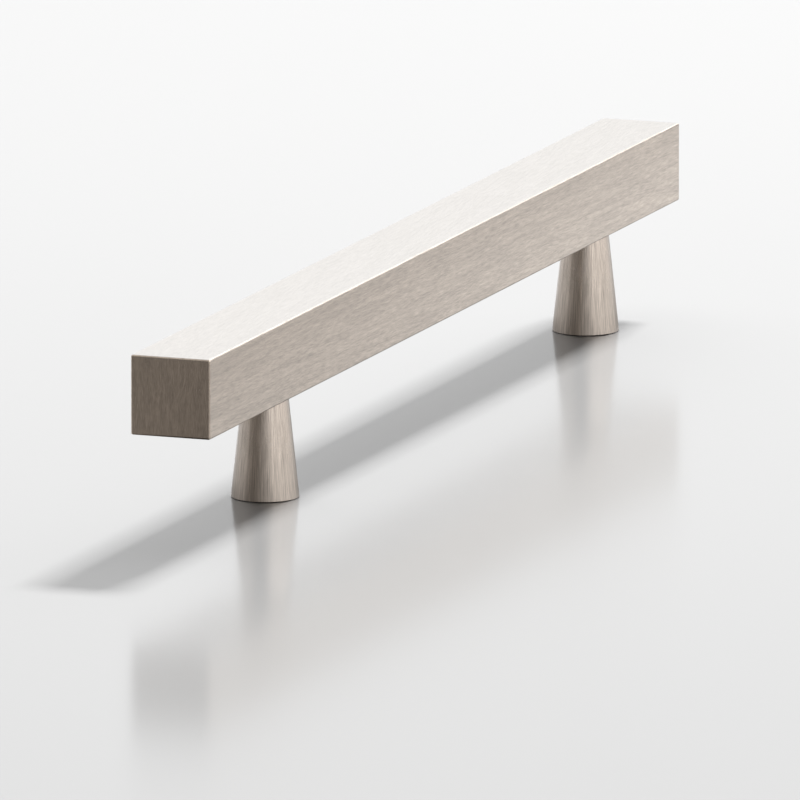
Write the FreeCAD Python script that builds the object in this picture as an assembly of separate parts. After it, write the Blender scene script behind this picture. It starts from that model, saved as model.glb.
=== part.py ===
# Bar cabinet pull: a straight solid bar of nearly square section, carried on two round tapered posts.
# Each post is drawn up against the bar by a hidden stud, and takes a mounting screw in its base.
# Millimetres. X runs along the bar, Y across it, and Z points away from the drawer front at Z = 0.
# The origin is midway between the two screw holes, on the plane of the drawer front.
import FreeCAD, Part
import math
import os

# Bar, 10 1/4 inches long: it stands further out past the near post than past the far one
bar_width = 15.875
bar_height = 15.3
bar_edge_round = 0.4
near_overhang = 50.8
far_overhang = 31.75

# Posts, 7 inches apart: turned cones, wide at the drawer front
screw_spacing = 177.8
post_height = 20.6
post_base_diameter = 13.0
post_top_diameter = 8.6
post_base_round = 0.15
post_top_chamfer = 0.15
web_between_holes = 2.2

# Tapped holes, drawn at the tap drill's size with the thread left off:
# number 8-32 in the feet for the mounting screws, number 10-32 at the joints for the studs
screw_hole_diameter = 3.454
screw_hole_mouth = 4.3
stud_hole_diameter = 4.039
stud_hole_mouth = 5.0
drill_point_angle = 118.0

# Studs: headless cup point screws, 1/2 inch long, drawn just inside the thread that holds them
stud_length_in_post = 6.0
stud_length_in_bar = 6.7
stud_side_clearance = 0.02
stud_end_clearance = 0.6
stud_end_chamfer = 0.4
stud_cup_diameter = 2.5
key_socket_width = 2.381
key_socket_depth = 2.3

# Worked out from the sizes above
bar_length = near_overhang + screw_spacing + far_overhang
near_post_x = -screw_spacing / 2
far_post_x = screw_spacing / 2
rise_per_radius = 1 / math.tan(math.radians(drill_point_angle / 2))
bar_hole_depth = stud_length_in_bar + stud_end_clearance
post_top_hole_depth = stud_length_in_post + stud_end_clearance
drill_points_rise = (screw_hole_diameter + stud_hole_diameter) / 2 * rise_per_radius
screw_hole_depth = post_height - post_top_hole_depth - web_between_holes - drill_points_rise


def turned(profile):
    """Solid of revolution about the Z axis, from its (radius, height) points in order."""
    points = [FreeCAD.Vector(radius, 0, height) for radius, height in profile]
    face = Part.Face(Part.makePolygon(points + points[:1]))
    return face.revolve(FreeCAD.Vector(0, 0, 0), FreeCAD.Vector(0, 0, 1), 360)


def rim_at(solid, height):
    """The edges of a solid that lie level at this height."""
    return [edge for edge in solid.Edges if math.isclose(edge.CenterOfMass.z, height, abs_tol=1e-6)]


def drilled_hole(diameter, mouth_diameter, depth):
    """The space of a blind hole that runs up from Z = 0: countersink, bore and drill point."""
    radius = diameter / 2
    mouth_radius = mouth_diameter / 2
    return turned([
        (0, -mouth_radius),
        (2 * mouth_radius, -mouth_radius),
        (radius, mouth_radius - radius),
        (radius, depth),
        (0, depth + radius * rise_per_radius),
    ])


def screw_hole(x):
    """The space of the mounting screw's hole, up into the foot of a post."""
    hole = drilled_hole(screw_hole_diameter, screw_hole_mouth, screw_hole_depth)
    hole.translate(FreeCAD.Vector(x, 0, 0))
    return hole


def stud_hole_in_bar(x):
    """The space of a stud's hole, up into the underside of the bar."""
    hole = drilled_hole(stud_hole_diameter, stud_hole_mouth, bar_hole_depth)
    hole.translate(FreeCAD.Vector(x, 0, post_height))
    return hole


def stud_hole_in_post(x):
    """The space of a stud's hole, down into the upper end of a post."""
    hole = drilled_hole(stud_hole_diameter, stud_hole_mouth, post_top_hole_depth)
    hole.rotate(FreeCAD.Vector(0, 0, 0), FreeCAD.Vector(1, 0, 0), 180)
    hole.translate(FreeCAD.Vector(x, 0, post_height))
    return hole


def make_bar():
    """Solid bar with every edge eased, drilled from below over each post."""
    corner = FreeCAD.Vector(near_post_x - near_overhang, -bar_width / 2, post_height)
    bar = Part.makeBox(bar_length, bar_width, bar_height, corner)
    bar = bar.makeFillet(bar_edge_round, bar.Edges)
    return bar.cut(stud_hole_in_bar(near_post_x)).cut(stud_hole_in_bar(far_post_x))


def make_post(x):
    """Tapered post, drilled for the mounting screw below and for the stud above."""
    foot = FreeCAD.Vector(x, 0, 0)
    post = Part.makeCone(post_base_diameter / 2, post_top_diameter / 2, post_height, foot)
    post = post.makeFillet(post_base_round, rim_at(post, 0))
    post = post.makeChamfer(post_top_chamfer, rim_at(post, post_height))
    return post.cut(screw_hole(x)).cut(stud_hole_in_post(x))


def key_socket(bottom):
    """The space of the six-sided key socket, which opens downwards at this height."""
    corner_radius = key_socket_width / math.sqrt(3)
    turns = [math.radians(60 * corner) for corner in range(6)]
    corners = [
        FreeCAD.Vector(corner_radius * math.cos(turn), corner_radius * math.sin(turn), bottom)
        for turn in turns
    ]
    face = Part.Face(Part.makePolygon(corners + corners[:1]))
    return face.extrude(FreeCAD.Vector(0, 0, key_socket_depth))


def make_stud(x):
    """Headless screw across the joint: key socket at the post's end, cup point at the bar's."""
    bottom = post_height - stud_length_in_post
    top = post_height + stud_length_in_bar
    radius = stud_hole_diameter / 2 - stud_side_clearance
    end_radius = radius - stud_end_chamfer
    cup_radius = stud_cup_diameter / 2
    stud = turned([
        (0, bottom),
        (end_radius, bottom),
        (radius, bottom + stud_end_chamfer),
        (radius, top - stud_end_chamfer),
        (end_radius, top),
        (cup_radius, top),
        (0, top - cup_radius * rise_per_radius),
    ])
    stud = stud.cut(key_socket(bottom))
    stud.translate(FreeCAD.Vector(x, 0, 0))
    return stud


pieces = {
    "bar": make_bar(),
    "near_post": make_post(near_post_x),
    "far_post": make_post(far_post_x),
    "near_stud": make_stud(near_post_x),
    "far_stud": make_stud(far_post_x),
}

os.makedirs("parts", exist_ok=True)
for name, piece in pieces.items():
    piece.exportStep(f"parts/{name}.step")
    print(name, "valid" if piece.isValid() else "NOT VALID", round(piece.Volume, 1), "mm3")
print("screw hole depth", round(screw_hole_depth, 3), "mm")
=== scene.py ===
# Brushed nickel bar pull on two tapered posts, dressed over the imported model. Metres.
# X runs along the bar, Y across it, Z away from the drawer front. The camera looks at the -X, -Y side.
from math import atan2, cos, pi, radians, sin, tan

import bmesh
import bpy
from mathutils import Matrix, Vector


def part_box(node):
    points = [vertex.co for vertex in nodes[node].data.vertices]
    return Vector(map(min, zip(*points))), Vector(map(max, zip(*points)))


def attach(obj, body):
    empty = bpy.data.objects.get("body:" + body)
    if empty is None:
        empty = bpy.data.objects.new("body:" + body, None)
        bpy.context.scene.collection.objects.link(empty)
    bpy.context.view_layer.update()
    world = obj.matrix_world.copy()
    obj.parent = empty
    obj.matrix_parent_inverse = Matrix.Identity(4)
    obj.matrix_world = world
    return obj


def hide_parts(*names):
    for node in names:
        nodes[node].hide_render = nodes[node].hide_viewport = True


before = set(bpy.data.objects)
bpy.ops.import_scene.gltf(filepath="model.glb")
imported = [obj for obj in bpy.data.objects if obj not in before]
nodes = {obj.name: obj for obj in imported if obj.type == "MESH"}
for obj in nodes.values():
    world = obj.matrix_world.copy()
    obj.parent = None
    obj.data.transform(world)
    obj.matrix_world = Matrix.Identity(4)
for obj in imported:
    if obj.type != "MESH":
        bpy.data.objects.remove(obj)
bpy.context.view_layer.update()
mm = 0.001
print("frame loaded:", ", ".join(sorted(nodes)))


# picking and shaping helpers

alongAxis = 0.9  # of a normal, for an end face that looks that way


def deselectAll():
    bpy.ops.object.select_all(action="DESELECT")


def pickOnly(piece):
    deselectAll()
    piece.select_set(True)
    bpy.context.view_layer.objects.active = piece


def enterEdit(piece):
    pickOnly(piece)
    bpy.ops.object.mode_set(mode="EDIT")
    bpy.ops.mesh.select_all(action="DESELECT")


def leaveEdit():
    bpy.ops.object.mode_set(mode="OBJECT")


def pickFaces(piece, test):
    # test gets a face's middle and its normal
    bpy.ops.mesh.select_mode(type="FACE")
    bpy.ops.mesh.select_all(action="DESELECT")
    mesh = bmesh.from_edit_mesh(piece.data)
    for face in mesh.faces:
        if test(face.calc_center_median(), face.normal):
            face.select_set(True)
    bmesh.update_edit_mesh(piece.data)


def pickEdges(piece, test):
    # test gets an edge's two ends
    bpy.ops.mesh.select_mode(type="EDGE")
    bpy.ops.mesh.select_all(action="DESELECT")
    mesh = bmesh.from_edit_mesh(piece.data)
    for edge in mesh.edges:
        if test(edge.verts[0].co, edge.verts[1].co):
            edge.select_set(True)
    bmesh.update_edit_mesh(piece.data)


def applyModifier(piece, kind, **settings):
    bpy.context.view_layer.objects.active = piece
    modifier = piece.modifiers.new(kind.lower(), kind)
    for name, value in settings.items():
        setattr(modifier, name, value)
    bpy.ops.object.modifier_apply(modifier=modifier.name)


def settle(piece, name):
    # place, turn and size go into the mesh
    pickOnly(piece)
    bpy.ops.object.transform_apply(location=True, rotation=True, scale=True)
    piece.name = name
    piece.data.name = name


def finishShading(piece, sharpAngle=35):
    pickOnly(piece)
    bpy.ops.object.shade_smooth_by_angle(angle=radians(sharpAngle))
    applyModifier(piece, "WEIGHTED_NORMAL", keep_sharp=True, weight=60)


def axisX(node):
    # where a post's axis crosses the bar's
    low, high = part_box(node)
    return (low.x + high.x) / 2


# bar: solid, nearly square, drilled from below over each post

bar = {
    "edgeRound": 0.4 * mm,
    "edgeSteps": 6,
    "holeRadius": 2.0195 * mm,  # tap drill of the hidden studs
    "mouthRadius": 2.5 * mm,
    "holeDepth": 7.3 * mm,
    "pointAngle": 118,  # of the drill
    "holeSides": 64,
}


def makeDrill(x, z):
    # the space of one drilled hole: countersink, bore and drill point
    radius, depth = bar["holeRadius"], bar["holeDepth"]
    deselectAll()
    bpy.ops.mesh.primitive_cylinder_add(
        vertices=bar["holeSides"], radius=radius, depth=depth, location=(x, 0, z + depth / 2))
    drill = bpy.context.object
    settle(drill, "drill")
    enterEdit(drill)
    pickFaces(drill, lambda middle, normal: normal.z > alongAxis)
    rise = radius / tan(radians(bar["pointAngle"] / 2))
    bpy.ops.mesh.extrude_region_move(TRANSFORM_OT_translate={"value": (0, 0, rise)})
    bpy.ops.mesh.merge(type="CENTER")
    pickFaces(drill, lambda middle, normal: normal.z < -alongAxis)
    sink = bar["mouthRadius"] - radius
    bpy.ops.transform.translate(value=(0, 0, sink))
    bpy.ops.mesh.extrude_region_move(TRANSFORM_OT_translate={"value": (0, 0, -2 * sink)})
    wide = (radius + 2 * sink) / radius
    bpy.ops.transform.resize(value=(wide, wide, 1))
    leaveEdit()
    return drill


def makeBar():
    low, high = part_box("bar")
    deselectAll()
    bpy.ops.mesh.primitive_cube_add(size=1, location=(low + high) / 2)
    piece = bpy.context.object
    bpy.ops.transform.resize(value=high - low)
    settle(piece, "brushed_bar")
    enterEdit(piece)
    bpy.ops.mesh.select_all(action="SELECT")
    bpy.ops.mesh.bevel(offset=bar["edgeRound"], segments=bar["edgeSteps"], profile=0.5, affect="EDGES")
    leaveEdit()
    for node in ("near_post", "far_post"):
        drill = makeDrill(axisX(node), low.z)
        applyModifier(piece, "BOOLEAN", operation="DIFFERENCE", object=drill, solver="EXACT")
        bpy.data.objects.remove(drill)
    finishShading(piece)
    return piece


# posts: turned cones, tapped from the foot for the mounting screw and from the top for the stud

post = {
    "footRadius": 6.5 * mm,
    "topRadius": 4.3 * mm,
    "sides": 128,
    "footRound": 0.15 * mm,
    "footRoundSteps": 5,
    "topChamfer": 0.15 * mm,
    "mouthRadius": 2.15 * mm,  # of the screw hole in the foot
    "holeRadius": 1.727 * mm,
    "wallTop": 9.549 * mm,
    "threadRadius": 2.083 * mm,  # number 8-32 at the bottom of its grooves
    "threadPitch": 0.79375 * mm,
    "threadRoot": 0.2,  # flat share of the pitch; the flanks slope from there to a sharp crest
    "threadFade": 1.2 * mm,
    "ringsPerTurn": 8,
    "studMouthRadius": 2.5 * mm,
    "studHoleRadius": 2.0195 * mm,
    "studHoleDepth": 6.6 * mm,
    "pointAngle": 118,
}


def sinkHole(piece, flatZ, flatRadius, mouth, radius, wallEnd, inward):
    # from the flat end face: ring, countersink, wall and drill point
    # inward is +1 from the foot, -1 from the top
    near = 0.001 * mm
    pickFaces(piece, lambda middle, normal: normal.z * inward < -alongAxis and abs(middle.z - flatZ) < near)
    bpy.ops.mesh.inset(thickness=flatRadius - mouth)
    sink = inward * (mouth - radius)
    shrink = radius / mouth
    bpy.ops.mesh.extrude_region_move(TRANSFORM_OT_translate={"value": (0, 0, sink)})
    bpy.ops.transform.resize(value=(shrink, shrink, 1))
    bpy.ops.mesh.extrude_region_move(TRANSFORM_OT_translate={"value": (0, 0, wallEnd - flatZ - sink)})
    rise = radius / tan(radians(post["pointAngle"] / 2))
    bpy.ops.mesh.extrude_region_move(TRANSFORM_OT_translate={"value": (0, 0, inward * rise)})
    bpy.ops.mesh.merge(type="CENTER")


def cutThread(piece, x):
    # rings up the hole's wall, each point then moved out by where it is on the helix
    start = post["mouthRadius"] - post["holeRadius"]
    end = post["wallTop"]
    near = 0.02 * mm
    longEdge = 1 * mm

    def onWall(point):
        fromAxis = Vector((point.x - x, point.y)).length
        return abs(fromAxis - post["holeRadius"]) < near and start - near < point.z < end + near

    pickEdges(piece, lambda a, b: onWall(a) and onWall(b) and abs(a.z - b.z) > longEdge)
    rings = round((end - start) / post["threadPitch"] * post["ringsPerTurn"])
    bpy.ops.mesh.subdivide(number_cuts=rings - 1)
    mesh = bmesh.from_edit_mesh(piece.data)
    groove = post["threadRadius"] - post["holeRadius"]
    for point in mesh.verts:
        fromEnd = min(point.co.z - start, end - point.co.z)
        if not onWall(point.co) or fromEnd < near:
            continue
        turn = atan2(point.co.y, point.co.x - x) / (2 * pi)
        place = (point.co.z / post["threadPitch"] - turn) % 1
        depth = min(1, (0.5 - abs(place - 0.5)) / (0.5 - post["threadRoot"] / 2))
        fade = min(1, fromEnd / post["threadFade"])
        scale = 1 + groove * depth * fade / post["holeRadius"]
        point.co.x = x + (point.co.x - x) * scale
        point.co.y *= scale
    bmesh.update_edit_mesh(piece.data)


def makeNearPost():
    x = axisX("near_post")
    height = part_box("near_post")[1].z
    deselectAll()
    bpy.ops.mesh.primitive_cone_add(
        vertices=post["sides"], radius1=post["footRadius"], radius2=post["topRadius"],
        depth=height, location=(x, 0, height / 2))
    piece = bpy.context.object
    settle(piece, "near_tapered_post")
    enterEdit(piece)
    near = 0.01 * mm
    taper = atan2(post["footRadius"] - post["topRadius"], height)
    footOffset = post["footRound"] / tan((pi / 2 - taper) / 2)  # from the edge to where the round starts
    pickEdges(piece, lambda a, b: a.z < near and b.z < near)
    bpy.ops.mesh.bevel(offset=footOffset, segments=post["footRoundSteps"], profile=0.5, affect="EDGES")
    pickEdges(piece, lambda a, b: a.z > height - near and b.z > height - near)
    bpy.ops.mesh.bevel(offset=post["topChamfer"], segments=1, affect="EDGES")
    sinkHole(piece, 0, post["footRadius"] - footOffset, post["mouthRadius"], post["holeRadius"],
             post["wallTop"], 1)
    sinkHole(piece, height, post["topRadius"] - post["topChamfer"], post["studMouthRadius"],
             post["studHoleRadius"], height - post["studHoleDepth"], -1)
    cutThread(piece, x)
    leaveEdit()
    finishShading(piece)
    return piece


def copyPost(nearPost):
    pickOnly(nearPost)
    bpy.ops.object.duplicate(linked=False)
    piece = bpy.context.object
    piece.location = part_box("far_post")[0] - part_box("near_post")[0]
    settle(piece, "far_tapered_post")
    return piece


barPiece = makeBar()
nearPost = makeNearPost()
farPost = copyPost(nearPost)
for piece in (barPiece, nearPost, farPost):
    print(piece.name, len(piece.data.polygons), "faces")


# material helpers

def addNode(tree, kind, at=(0, 0), **settings):
    node = tree.nodes.new(kind)
    node.location = at
    for name, value in settings.items():
        setattr(node, name, value)
    return node


def addGroup(tree, group, at, **values):
    node = addNode(tree, "ShaderNodeGroup", at, node_tree=group)
    for name, value in values.items():
        node.inputs[name].default_value = value
    return node


def mathNode(tree, operation, first, second, at=(0, 0)):
    # first and second are numbers or sockets
    node = addNode(tree, "ShaderNodeMath", at, operation=operation)
    for socket, value in zip(node.inputs, (first, second)):
        if isinstance(value, (int, float)):
            socket.default_value = value
        elif value is not None:
            tree.links.new(value, socket)
    return node.outputs[0]


def rangeNode(tree, value, fromMin, fromMax, toMin, toMax, at=(0, 0)):
    node = addNode(tree, "ShaderNodeMapRange", at, interpolation_type="SMOOTHSTEP")
    for name, number in (("From Min", fromMin), ("From Max", fromMax), ("To Min", toMin), ("To Max", toMax)):
        node.inputs[name].default_value = number
    tree.links.new(value, node.inputs["Value"])
    return node.outputs["Result"]


def newGroup(name, inputs, outputs):
    group = bpy.data.node_groups.new(name, "ShaderNodeTree")
    for label, kind, default in inputs:
        socket = group.interface.new_socket(label, in_out="INPUT", socket_type=kind)
        if default is not None:
            socket.default_value = default
    for label, kind in outputs:
        group.interface.new_socket(label, in_out="OUTPUT", socket_type=kind)
    return group, addNode(group, "NodeGroupInput", (-900, 0)), addNode(group, "NodeGroupOutput", (900, 0))


def startMaterial(name):
    material = bpy.data.materials.new(name)
    material.use_nodes = True
    tree = material.node_tree
    tree.nodes.clear()
    shader = addNode(tree, "ShaderNodeBsdfPrincipled", (600, 0))
    output = addNode(tree, "ShaderNodeOutputMaterial", (900, 0))
    tree.links.new(shader.outputs[0], output.inputs["Surface"])
    return material, tree, shader


# brush strokes, shared by all the metal

strokeNoise = {  # scale, detail and roughness
    "Fine": (1, 4, 0.66),
    "Broad": (0.22, 2, 0.5),
}


def makeStrokeGroup():
    # brush strokes that run along X of the vector given: fine scratches and broader bands, each 0 to 1
    group, given, result = newGroup(
        "brushStrokes",
        [("Vector", "NodeSocketVector", None),
         ("Length", "NodeSocketFloat", 8 * mm),
         ("Width", "NodeSocketFloat", 0.25 * mm)],
        [("Fine", "NodeSocketFloat"), ("Broad", "NodeSocketFloat")])
    links = group.links
    inverseLength = mathNode(group, "DIVIDE", 1, given.outputs["Length"], (-700, 200))
    inverseWidth = mathNode(group, "DIVIDE", 1, given.outputs["Width"], (-700, 0))
    stretch = addNode(group, "ShaderNodeCombineXYZ", (-500, 100))
    links.new(inverseLength, stretch.inputs["X"])
    links.new(inverseWidth, stretch.inputs["Y"])
    links.new(inverseWidth, stretch.inputs["Z"])
    stretched = addNode(group, "ShaderNodeVectorMath", (-300, 100), operation="MULTIPLY")
    links.new(given.outputs["Vector"], stretched.inputs[0])
    links.new(stretch.outputs[0], stretched.inputs[1])
    for number, (kind, settings) in enumerate(strokeNoise.items()):
        noise = addNode(group, "ShaderNodeTexNoise", (0, 200 - 400 * number))
        for name, value in zip(("Scale", "Detail", "Roughness"), settings):
            noise.inputs[name].default_value = value
        links.new(stretched.outputs[0], noise.inputs["Vector"])
        links.new(noise.outputs["Fac"], result.inputs[kind])
    return group


def makeToneGroup():
    # a colour, a roughness and a height that follow the strokes
    group, given, result = newGroup(
        "strokeTone",
        [("Fine", "NodeSocketFloat", 0.5), ("Broad", "NodeSocketFloat", 0.5),
         ("Broad Share", "NodeSocketFloat", 0.25),
         ("Colour", "NodeSocketColor", (0.6, 0.5, 0.4, 1)),
         ("Contrast", "NodeSocketFloat", 0.3),
         ("Roughness", "NodeSocketFloat", 0.3),
         ("Roughness Spread", "NodeSocketFloat", 0.15)],
        [("Colour", "NodeSocketColor"), ("Roughness", "NodeSocketFloat"), ("Height", "NodeSocketFloat")])
    links = group.links
    apart = mathNode(group, "SUBTRACT", given.outputs["Broad"], given.outputs["Fine"], (-700, -100))
    moved = mathNode(group, "MULTIPLY", apart, given.outputs["Broad Share"], (-600, -100))
    strokes = mathNode(group, "ADD", given.outputs["Fine"], moved, (-500, 0))
    offset = mathNode(group, "SUBTRACT", strokes, 0.5, (-300, 0))
    lighter = mathNode(group, "MULTIPLY", offset, given.outputs["Contrast"], (-100, 200))
    factor = mathNode(group, "ADD", lighter, 1, (100, 200))
    tinted = addNode(group, "ShaderNodeVectorMath", (300, 200), operation="SCALE")
    links.new(given.outputs["Colour"], tinted.inputs[0])
    links.new(factor, tinted.inputs["Scale"])
    links.new(tinted.outputs[0], result.inputs["Colour"])
    rougher = mathNode(group, "MULTIPLY", offset, given.outputs["Roughness Spread"], (-100, 0))
    roughness = mathNode(group, "SUBTRACT", given.outputs["Roughness"], rougher, (100, 0))
    links.new(roughness, result.inputs["Roughness"])
    links.new(strokes, result.inputs["Height"])
    return group


strokeGroup = makeStrokeGroup()
toneGroup = makeToneGroup()


def addStrokes(tree, vector, settings):
    # the two groups in a row, with this material's strokes and colour
    strokes = addGroup(tree, strokeGroup, (-200, 0), Length=settings["length"], Width=settings["width"])
    tree.links.new(vector, strokes.inputs["Vector"])
    tone = addGroup(tree, toneGroup, (100, 0), Colour=settings["colour"], Contrast=settings["contrast"])
    tone.inputs["Broad Share"].default_value = settings["broadShare"]
    tree.links.new(strokes.outputs["Fine"], tone.inputs["Fine"])
    tree.links.new(strokes.outputs["Broad"], tone.inputs["Broad"])
    return tone


# satin nickel: what all of it shares, then the colour and strokes of each kind of face

nickel = {
    "roughness": 0.23,
    "roughnessSpread": 0.25,
    "bump": 0.2,
    "bumpDistance": 0.02 * mm,
    "coat": 0.8,  # clear lacquer
    "coatRoughness": 0.25,
}

sideNickel = {
    "colour": (0.62, 0.530, 0.447, 1),
    "turn": (0, -0.5, 0),  # degrees that bring the strokes onto X: they drop towards the far end
    "length": 3.24 * mm,
    "width": 0.15 * mm,
    "contrast": 2.43,
    "broadShare": 0.25,
}

# painted shade: the top's colour is darker and less warm than the sides', to tone down the bright light the
# top reflects
topNickel = {
    "colour": (0.572, 0.531, 0.485, 1),
    "turn": (0, 0, -6),
    "length": 3.6 * mm,
    "width": 0.52 * mm,
    "contrast": 0.45,
    "broadShare": 0.3,
}

endNickel = {
    "colour": (0.62, 0.533, 0.455, 1),
    "turn": (0, 90, 0),
    "length": 1.152 * mm,
    "width": 0.15 * mm,
    "contrast": 1.62,
    "broadShare": 0.25,
}

postNickel = {
    "colour": (0.62, 0.538, 0.467, 1),
    "length": 5 * mm,
    "width": 0.14 * mm,
    "contrast": 2.07,
    "broadShare": 0.12,
    "paintedFootShade": 0.85,  # painted shade: darker towards the floor, and duller there, up to this height
    "footRoughness": 0.36,
    "shadeHeight": 17 * mm,
}


def finishNickel(tree, shader, vector, settings):
    # strokes along X of the vector socket, to the colour, roughness and bump
    tone = addStrokes(tree, vector, settings)
    tone.inputs["Roughness"].default_value = nickel["roughness"]
    tone.inputs["Roughness Spread"].default_value = nickel["roughnessSpread"]
    bump = addNode(tree, "ShaderNodeBump", (350, -250))
    bump.inputs["Strength"].default_value = nickel["bump"]
    bump.inputs["Distance"].default_value = nickel["bumpDistance"]
    tree.links.new(tone.outputs["Height"], bump.inputs["Height"])
    # black as the floor sees it, so that the metal throws no light back there
    ray = addNode(tree, "ShaderNodeLightPath", (100, 500))
    kept = mathNode(tree, "SUBTRACT", 1, ray.outputs["Is Diffuse Ray"], (350, 500))
    seen = addNode(tree, "ShaderNodeVectorMath", (350, 200), operation="SCALE")
    tree.links.new(tone.outputs["Colour"], seen.inputs[0])
    tree.links.new(kept, seen.inputs["Scale"])
    tree.links.new(seen.outputs[0], shader.inputs["Base Color"])
    tree.links.new(tone.outputs["Roughness"], shader.inputs["Roughness"])
    tree.links.new(bump.outputs[0], shader.inputs["Normal"])
    shader.inputs["Metallic"].default_value = 1
    shader.inputs["Coat Weight"].default_value = nickel["coat"]
    shader.inputs["Coat Roughness"].default_value = nickel["coatRoughness"]
    return tone


def makeFaceNickel(name, settings):
    # for a flat face
    material, tree, shader = startMaterial(name)
    place = addNode(tree, "ShaderNodeTexCoord", (-700, 0))
    mapping = addNode(tree, "ShaderNodeMapping", (-450, 0), vector_type="POINT")
    mapping.inputs["Rotation"].default_value = [radians(angle) for angle in settings["turn"]]
    tree.links.new(place.outputs["Object"], mapping.inputs["Vector"])
    finishNickel(tree, shader, mapping.outputs[0], settings)
    return material


def fromFootToTop(tree, x):
    # the height as X, and the direction from the axis as Y and Z: one vector for strokes up the cone
    place = addNode(tree, "ShaderNodeTexCoord", (-1500, 0))
    centred = addNode(tree, "ShaderNodeMapping", (-1300, 0), vector_type="POINT")
    centred.inputs["Location"].default_value = (-x, 0, 0)
    tree.links.new(place.outputs["Object"], centred.inputs["Vector"])
    flat = addNode(tree, "ShaderNodeVectorMath", (-1100, 100), operation="MULTIPLY")
    flat.inputs[1].default_value = (1, 1, 0)
    tree.links.new(centred.outputs[0], flat.inputs[0])
    outward = addNode(tree, "ShaderNodeVectorMath", (-900, 100), operation="NORMALIZE")
    tree.links.new(flat.outputs[0], outward.inputs[0])
    around = addNode(tree, "ShaderNodeSeparateXYZ", (-700, 100))
    tree.links.new(outward.outputs[0], around.inputs[0])
    height = addNode(tree, "ShaderNodeSeparateXYZ", (-900, -100))
    tree.links.new(centred.outputs[0], height.inputs[0])
    joined = addNode(tree, "ShaderNodeCombineXYZ", (-450, 0))
    tree.links.new(height.outputs["Z"], joined.inputs["X"])
    for axis, socket in (("X", "Y"), ("Y", "Z")):
        arc = mathNode(tree, "MULTIPLY", around.outputs[axis], post["footRadius"], (-600, 0))
        tree.links.new(arc, joined.inputs[socket])
    return joined.outputs[0], height.outputs["Z"]


def makePostNickel(name, x):
    material, tree, shader = startMaterial(name)
    vector, height = fromFootToTop(tree, x)
    tone = finishNickel(tree, shader, vector, postNickel)
    reach = postNickel["shadeHeight"]
    # painted shade: the post's colour darkens towards the floor
    paintedShade = rangeNode(tree, height, 0, reach, postNickel["paintedFootShade"], 1, (-450, -300))
    paintedShadeColour = addNode(tree, "ShaderNodeVectorMath", (-100, -300), operation="SCALE")
    paintedShadeColour.inputs[0].default_value = postNickel["colour"][:3]
    tree.links.new(paintedShade, paintedShadeColour.inputs["Scale"])
    tree.links.new(paintedShadeColour.outputs[0], tone.inputs["Colour"])
    duller = rangeNode(tree, height, 0, reach, postNickel["footRoughness"], nickel["roughness"], (-450, -600))
    tree.links.new(duller, tone.inputs["Roughness"])
    return material


# hidden studs: zinc plated steel, with fine turning marks round the axis

steel = {
    "colour": (0.42, 0.42, 0.43, 1),
    "roughness": 0.35,
    "length": 2 * mm,
    "width": 2 * mm,
    "contrast": 0.4,
    "broadShare": 0.25,
    "marksPerWidth": 12,
}


def makePlatedSteel():
    material, tree, shader = startMaterial("plated_steel")
    place = addNode(tree, "ShaderNodeTexCoord", (-700, 0))
    mapping = addNode(tree, "ShaderNodeMapping", (-450, 0), vector_type="POINT")
    mapping.inputs["Scale"].default_value = (1, 1, steel["marksPerWidth"])
    tree.links.new(place.outputs["Object"], mapping.inputs["Vector"])
    tone = addStrokes(tree, mapping.outputs[0], steel)
    tone.inputs["Roughness"].default_value = steel["roughness"]
    tree.links.new(tone.outputs["Colour"], shader.inputs["Base Color"])
    tree.links.new(tone.outputs["Roughness"], shader.inputs["Roughness"])
    shader.inputs["Metallic"].default_value = 1
    return material


def paintFaces(piece, material, axis):
    # adds the material to the piece and gives it to the flat faces that look along the axis, either way
    flatFace = 0.95
    piece.data.materials.append(material)
    enterEdit(piece)
    pickFaces(piece, lambda middle, normal: abs(normal.dot(axis)) > flatFace)
    piece.active_material_index = len(piece.data.materials) - 1
    bpy.ops.object.material_slot_assign()
    leaveEdit()


barPiece.data.materials.append(makeFaceNickel("bar_side_nickel", sideNickel))
paintFaces(barPiece, makeFaceNickel("bar_top_nickel", topNickel), Vector((0, 0, 1)))
paintFaces(barPiece, makeFaceNickel("bar_end_nickel", endNickel), Vector((1, 0, 0)))
for piece, node in ((nearPost, "near_post"), (farPost, "far_post")):
    piece.data.materials.append(makePostNickel(node + "_nickel", axisX(node)))
plated = makePlatedSteel()
for node in ("near_stud", "far_stud"):
    for materialSlot in nodes[node].material_slots:
        materialSlot.material = plated
print("materials made")

for piece, node, slotName in (
        (barPiece, "bar", "bar_nickel"),
        (nearPost, "near_post", "post_nickel"),
        (farPost, "far_post", "post_nickel")):
    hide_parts(node)
    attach(piece, "root")


# studio: what reflections see, and one fill for all that matt surfaces see

sky = {
    "horizon": 0.52,  # brightness there, and straight up
    "zenith": 0.67,
    "zenithReach": (30, 75),  # degrees from straight up: full within, none beyond
    "glows": {  # strength, azimuth from +X and elevation, then degrees: full within, none beyond
        "far": (0.62, (20, 12), 11, 31),
        "edge": (1.10, (-6, 26), 4, 18),
        "right": (0.69, (276, 8), 32, 80),
    },
    "darks": {  # the same, with the share taken away as a negative strength
        "level": (-0.65, (155, 0), 5, 36),
        "above": (-0.45, (187, 38), 16, 38),
    },
    "darkTint": (1, 0.90, 0.80, 1),  # what the sky's dark zones and the floor's painted shade in reflections turn towards
    "fill": (1.22, (23, 33), 15, 62),  # all that matt surfaces see
    "backdrop": 0.92,  # as the camera sees it
}


def towards(azimuth, elevation):
    a, e = radians(azimuth), radians(elevation)
    return Vector((cos(a) * cos(e), sin(a) * cos(e), sin(e)))


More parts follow.
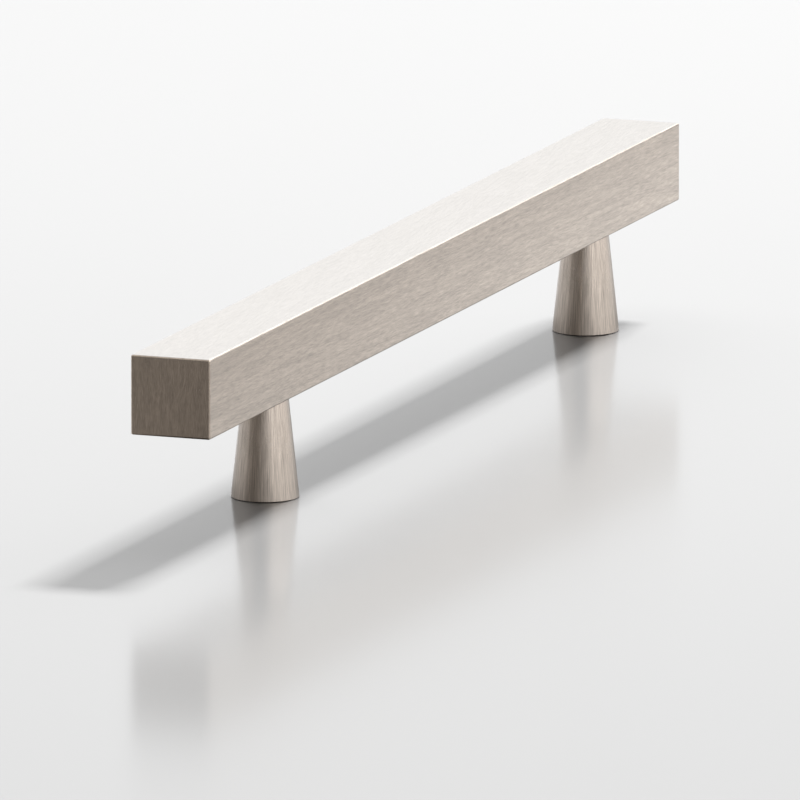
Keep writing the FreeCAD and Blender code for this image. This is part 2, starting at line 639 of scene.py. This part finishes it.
def lobe(tree, direction, centre, fullWithin, noneBeyond, at):
    # 1 near the centre direction, falling smoothly to 0
    dot = addNode(tree, "ShaderNodeVectorMath", at, operation="DOT_PRODUCT")
    tree.links.new(direction, dot.inputs[0])
    dot.inputs[1].default_value = centre
    least, most = cos(radians(noneBeyond)), cos(radians(fullWithin))
    return rangeNode(tree, dot.outputs["Value"], least, most, 0, 1, (at[0] + 200, at[1]))


def skyLobe(tree, direction, settings, at):
    strength, (azimuth, elevation), fullWithin, noneBeyond = settings
    mask = lobe(tree, direction, towards(azimuth, elevation), fullWithin, noneBeyond, at)
    return mathNode(tree, "MULTIPLY", mask, strength, (at[0] + 450, at[1]))


def darkTinted(tree, level, at):
    # white where the level is 1, warmer as it falls; 6, 7 and 2 are the node's colour sockets
    tint = addNode(tree, "ShaderNodeMix", at, data_type="RGBA")
    tree.links.new(level, tint.inputs["Factor"])
    tint.inputs[6].default_value = sky["darkTint"]
    tint.inputs[7].default_value = (1, 1, 1, 1)
    return tint.outputs[2]


def addGlows(tree, direction):
    # from the horizon up to the zenith, and the glows
    upward = lobe(tree, direction, (0, 0, 1), *sky["zenithReach"], (-900, 300))
    rise = mathNode(tree, "MULTIPLY", upward, sky["zenith"] - sky["horizon"], (-400, 300))
    lit = mathNode(tree, "ADD", rise, sky["horizon"], (-200, 300))
    for number, settings in enumerate(sky["glows"].values()):
        glow = skyLobe(tree, direction, settings, (-900, -600 - 300 * number))
        lit = mathNode(tree, "ADD", lit, glow, (-100 + 100 * number, 300))
    return lit


def addDarks(tree, direction):
    # 1, and less in the dark zones
    kept = 1
    for number, settings in enumerate(sky["darks"].values()):
        row = -300 * number
        dark = skyLobe(tree, direction, settings, (-900, row))
        left = mathNode(tree, "ADD", dark, 1, (-300, row))
        kept = mathNode(tree, "MULTIPLY", left, kept, (-100, row))
    return kept


def makeWorld():
    world = bpy.data.worlds.new("studio")
    bpy.context.scene.world = world
    world.use_nodes = True
    tree = world.node_tree
    tree.nodes.clear()
    place = addNode(tree, "ShaderNodeTexCoord", (-1200, 0))
    direction = place.outputs["Generated"]
    ray = addNode(tree, "ShaderNodeLightPath", (-900, 700))
    kept = addDarks(tree, direction)
    reflected = mathNode(tree, "MULTIPLY", addGlows(tree, direction), kept, (200, 0))
    lit = addNode(tree, "ShaderNodeMix", (400, 0), data_type="FLOAT")
    tree.links.new(ray.outputs["Is Glossy Ray"], lit.inputs["Factor"])
    tree.links.new(skyLobe(tree, direction, sky["fill"], (-900, -1500)), lit.inputs["A"])
    tree.links.new(reflected, lit.inputs["B"])
    shown = addNode(tree, "ShaderNodeMix", (600, 200), data_type="FLOAT")
    tree.links.new(ray.outputs["Is Camera Ray"], shown.inputs["Factor"])
    tree.links.new(lit.outputs["Result"], shown.inputs["A"])
    shown.inputs["B"].default_value = sky["backdrop"]
    background = addNode(tree, "ShaderNodeBackground", (800, 0))
    tree.links.new(shown.outputs["Result"], background.inputs["Strength"])
    tree.links.new(darkTinted(tree, kept, (600, -200)), background.inputs["Color"])
    output = addNode(tree, "ShaderNodeOutputWorld", (1000, 0))
    tree.links.new(background.outputs[0], output.inputs["Surface"])


# floor: pale and glossy, with painted light making it a little lighter on the far side; in reflections it
# carries painted shade and light

floorLook = {
    "size": 60,
    "height": -0.01 * mm,  # just clear of the feet
    "nearTone": 0.645,  # painted light: the tone at the near and the far side of the picture
    "farTone": 0.70,
    "turn": 20,  # of the direction from near to far
    "reach": 0.33,  # half the way over which the tone changes
    "roughness": 0.15,
    "ior": 1.34,
    # painted reflection: the floor's colour as glossy rays see it, darker or lighter by place,
    # along X or Y: from, to, level up to there, level beyond
    "paintedReflection": [
        ("X", -250 * mm, -80 * mm, 0.39, 1),
        ("X", -50 * mm, 300 * mm, 0.80, 1.07),
        ("Y", -100 * mm, -30 * mm, 0.60, 1.2),
    ],
    # painted shade under the bar, seen only in reflections: the same by the distance from the bar's middle
    # plane, and how much of it is undone beside a foot, by the distance from the post's axis
    "paintedShadeUnderBar": (12 * mm, 35 * mm, 0.25, 1),
    "sparedByFoot": (7.5 * mm, 11 * mm, 1, 0),
}


def paintedReflection(tree, place):
    # painted reflection and painted shade under the bar: the floor's level for glossy rays only
    across = addNode(tree, "ShaderNodeSeparateXYZ", (-700, -300))
    tree.links.new(place, across.inputs[0])
    seen = 1
    for number, (axis, *limits) in enumerate(floorLook["paintedReflection"]):
        row = -300 - 300 * number
        ramp = rangeNode(tree, across.outputs[axis], *limits, (-500, row))
        seen = mathNode(tree, "MULTIPLY", ramp, seen, (-300, row))
    middle = mathNode(tree, "ABSOLUTE", across.outputs["Y"], None, (-500, -1500))
    paintedUnderBar = rangeNode(tree, middle, *floorLook["paintedShadeUnderBar"], (-300, -1500))
    along = mathNode(tree, "ABSOLUTE", across.outputs["X"], None, (-900, -1700))
    fromAxis = addNode(tree, "ShaderNodeCombineXYZ", (-500, -1700))
    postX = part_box("far_post")[1].x - post["footRadius"]
    tree.links.new(mathNode(tree, "SUBTRACT", along, postX, (-700, -1700)), fromAxis.inputs["X"])
    tree.links.new(across.outputs["Y"], fromAxis.inputs["Y"])
    distance = addNode(tree, "ShaderNodeVectorMath", (-300, -1700), operation="LENGTH")
    tree.links.new(fromAxis.outputs[0], distance.inputs[0])
    besideFoot = rangeNode(tree, distance.outputs["Value"], *floorLook["sparedByFoot"], (-100, -1700))
    paintedUnderBar = mathNode(tree, "MAXIMUM", paintedUnderBar, besideFoot, (0, -1500))
    return mathNode(tree, "MULTIPLY", paintedUnderBar, seen, (-100, -1500))


def clearFromBelow(tree, shader, ray):
    # to the camera, and to what is reflected there
    facing = addNode(tree, "ShaderNodeNewGeometry", (300, 300))
    clear = addNode(tree, "ShaderNodeBsdfTransparent", (600, 300))
    mix = addNode(tree, "ShaderNodeMixShader", (800, 200))
    below = mathNode(tree, "MULTIPLY", facing.outputs["Backfacing"], ray.outputs["Is Camera Ray"], (300, 500))
    passed = mathNode(tree, "MINIMUM", ray.outputs["Transparent Depth"], 1, (300, 700))
    tree.links.new(mathNode(tree, "MAXIMUM", below, passed, (500, 500)), mix.inputs[0])
    tree.links.new(shader.outputs[0], mix.inputs[1])
    tree.links.new(clear.outputs[0], mix.inputs[2])
    output = next(node for node in tree.nodes if node.type == "OUTPUT_MATERIAL")
    tree.links.new(mix.outputs[0], output.inputs["Surface"])


def makeFloorMaterial():
    material, tree, shader = startMaterial("pale_floor")
    place = addNode(tree, "ShaderNodeTexCoord", (-900, 0))
    ray = addNode(tree, "ShaderNodeLightPath", (-500, -1200))
    turned = addNode(tree, "ShaderNodeMapping", (-700, 0), vector_type="POINT")
    turned.inputs["Rotation"].default_value = (0, 0, radians(-floorLook["turn"]))
    tree.links.new(place.outputs["Object"], turned.inputs["Vector"])
    along = addNode(tree, "ShaderNodeSeparateXYZ", (-500, 0))
    tree.links.new(turned.outputs[0], along.inputs[0])
    # painted light: the floor's tone grows lighter towards the far side
    tone = rangeNode(tree, along.outputs["X"], -floorLook["reach"], floorLook["reach"],
                     floorLook["nearTone"], floorLook["farTone"], (-300, 0))
    # glossy rays see the floor with its painted reflection and painted shade
    paintedReflectionLevel = addNode(tree, "ShaderNodeMix", (-100, -300), data_type="FLOAT")
    paintedReflectionLevel.inputs["A"].default_value = 1
    tree.links.new(ray.outputs["Is Glossy Ray"], paintedReflectionLevel.inputs["Factor"])
    tree.links.new(paintedReflection(tree, place.outputs["Object"]), paintedReflectionLevel.inputs["B"])
    level = mathNode(tree, "MULTIPLY", tone, paintedReflectionLevel.outputs["Result"], (100, 0))
    toned = addNode(tree, "ShaderNodeVectorMath", (300, 0), operation="SCALE")
    tree.links.new(darkTinted(tree, paintedReflectionLevel.outputs["Result"], (100, -300)), toned.inputs[0])
    tree.links.new(level, toned.inputs["Scale"])
    tree.links.new(toned.outputs[0], shader.inputs["Base Color"])
    shader.inputs["IOR"].default_value = floorLook["ior"]
    shader.inputs["Roughness"].default_value = floorLook["roughness"]
    clearFromBelow(tree, shader, ray)
    return material


def makeFloor():
    deselectAll()
    bpy.ops.mesh.primitive_plane_add(size=floorLook["size"], location=(0, 0, floorLook["height"]))
    floor = bpy.context.object
    settle(floor, "floor")
    floor.data.materials.append(makeFloorMaterial())


# two lamps in one place: the key lights matt surfaces, the sheen shows in glossy ones

lamps = {
    "place": (1.084, -0.040, 0.965),
    "size": (0.26, 0.14),
    "key": 11.6,
    "sheen": 2.5,
}


def makeLamp(name, forMatt):
    lamp = bpy.data.lights.new(name, "AREA")
    lamp.shape = "RECTANGLE"
    lamp.size, lamp.size_y = lamps["size"]
    lamp.energy = lamps[name]
    lamp.use_nodes = True
    emission = next(node for node in lamp.node_tree.nodes if node.type == "EMISSION")
    falloff = addNode(lamp.node_tree, "ShaderNodeLightFalloff", (-200, 0))  # even light over the whole floor
    falloff.inputs["Strength"].default_value = 1
    lamp.node_tree.links.new(falloff.outputs["Constant"], emission.inputs["Strength"])
    piece = bpy.data.objects.new(name, lamp)
    piece.visible_diffuse = forMatt
    piece.visible_glossy = not forMatt
    bpy.context.scene.collection.objects.link(piece)
    piece.location = lamps["place"]
    piece.rotation_mode = "QUATERNION"
    piece.rotation_quaternion = Vector(lamps["place"]).to_track_quat("Z", "Y")


view = {
    "lens": 1400,  # long, from far away: the bar's sides run almost parallel
    "sensor": 36,
    "aim": (-15.285 * mm, 0, 5.095 * mm),
    "distance": 5.94984,
    "yaw": 20.2593,  # of the bar's axis to the line of sight
    "elevation": 10.9995,
    "clipEnd": 100,
}


def makeCamera():
    back = towards(180 + view["yaw"], view["elevation"])
    data = bpy.data.cameras.new("camera")
    data.lens = view["lens"]
    data.sensor_width = view["sensor"]
    data.clip_end = view["clipEnd"]
    camera = bpy.data.objects.new("camera", data)
    bpy.context.scene.collection.objects.link(camera)
    camera.location = Vector(view["aim"]) + view["distance"] * back
    camera.rotation_mode = "QUATERNION"
    camera.rotation_quaternion = (-back).to_track_quat("-Z", "Y")
    bpy.context.scene.camera = camera


makeWorld()
makeFloor()
makeLamp("key", True)
makeLamp("sheen", False)
makeCamera()
bpy.context.scene.view_settings.view_transform = "Standard"
print("studio and camera made")
